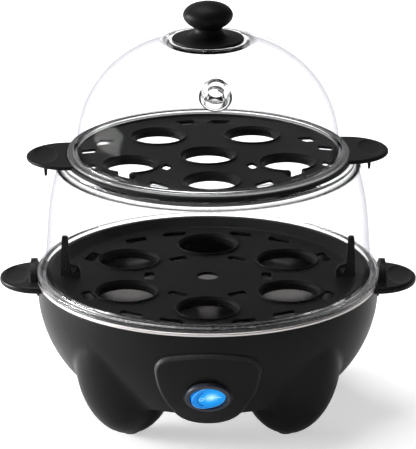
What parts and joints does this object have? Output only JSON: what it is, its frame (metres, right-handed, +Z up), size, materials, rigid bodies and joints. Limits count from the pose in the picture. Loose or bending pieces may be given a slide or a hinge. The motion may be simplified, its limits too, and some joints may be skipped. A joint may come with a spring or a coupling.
{
  "type": "egg cooker",
  "caption": "Two-tier electric egg cooker: a round black base on four legs with a rocker switch, egg trays, a clear shell and a domed clear lid with a knob.",
  "frame": {"origin": "on the surface the cooker stands on, under the round bowl's axis", "axes": "+Z up along the axis of the bowl, trays and lid; front with the switch towards -Y; side handles along X"},
  "size_m": [0.2266, 0.1874, 0.2272],
  "materials": {
    "black_plastic": "fine satin",
    "black_tray": "satin",
    "clear_plastic": "clear polished",
    "switch_frame": "satin",
    "blue_lens": "translucent, lit",
    "steel": "brushed",
    "zinc": "plated",
    "cast_aluminium": "as cast",
    "brass": "tinned blades",
    "rubber": "matte",
    "silicone": "soft",
    "phenolic": "moulded",
    "nylon": "natural",
    "insulation": "silicone sleeve",
    "glass": "clear"
  },
  "bodies": {
    "base": {"base_housing": "black_plastic", "foot_pads": "rubber", "bottom_cover": "black_plastic", "cover_screws": "zinc", "front_panel": "black_plastic", "switch_bezel": "switch_frame", "switch_body": "switch_frame", "indicator_lamp": "glass", "switch_terminals": "brass", "left_base_handle": "black_plastic", "right_base_handle": "black_plastic", "handle_screws": "zinc", "cord_gland": "black_plastic", "heating_plate": "steel", "plate_seal": "silicone", "heat_spreader": "cast_aluminium", "heating_element": "steel", "element_terminals": "brass", "thermostat": "phenolic", "thermostat_bracket": "steel", "bracket_screws": "zinc", "thermal_fuse": "zinc", "plate_studs": "zinc", "plate_screws": "zinc", "terminal_block": "nylon", "buzzer": "phenolic", "wires": "insulation"},
    "rocker": {"switch_rocker": "blue_lens"},
    "lower_tray": {"lower_tray": "black_tray"},
    "middle_shell": {"middle_shell": "clear_plastic"},
    "upper_tray": {"upper_tray": "black_tray"},
    "lid": {"lid_dome": "clear_plastic", "knob": "black_plastic", "knob_washer": "silicone", "knob_screw": "zinc"}
  },
  "joints": [
    {"name": "rocker_tilt", "type": "hinge", "parent": "base", "child": "rocker", "pos_m": [0, -0.086, 0.03805], "axis": [0, 0.5519, -0.8339], "range_deg": [0, 20]},
    {"name": "lower_tray_lift", "type": "slide", "parent": "base", "child": "lower_tray", "axis": [0, 0, 1], "range_m": [0, 0.06]},
    {"name": "middle_shell_lift", "type": "slide", "parent": "lower_tray", "child": "middle_shell", "axis": [0, 0, 1], "range_m": [0, 0.09]},
    {"name": "upper_tray_lift", "type": "slide", "parent": "middle_shell", "child": "upper_tray", "axis": [0, 0, 1], "range_m": [0, 0.06]},
    {"name": "lid_lift", "type": "slide", "parent": "upper_tray", "child": "lid", "axis": [0, 0, 1], "range_m": [0, 0.1]}
  ]
}
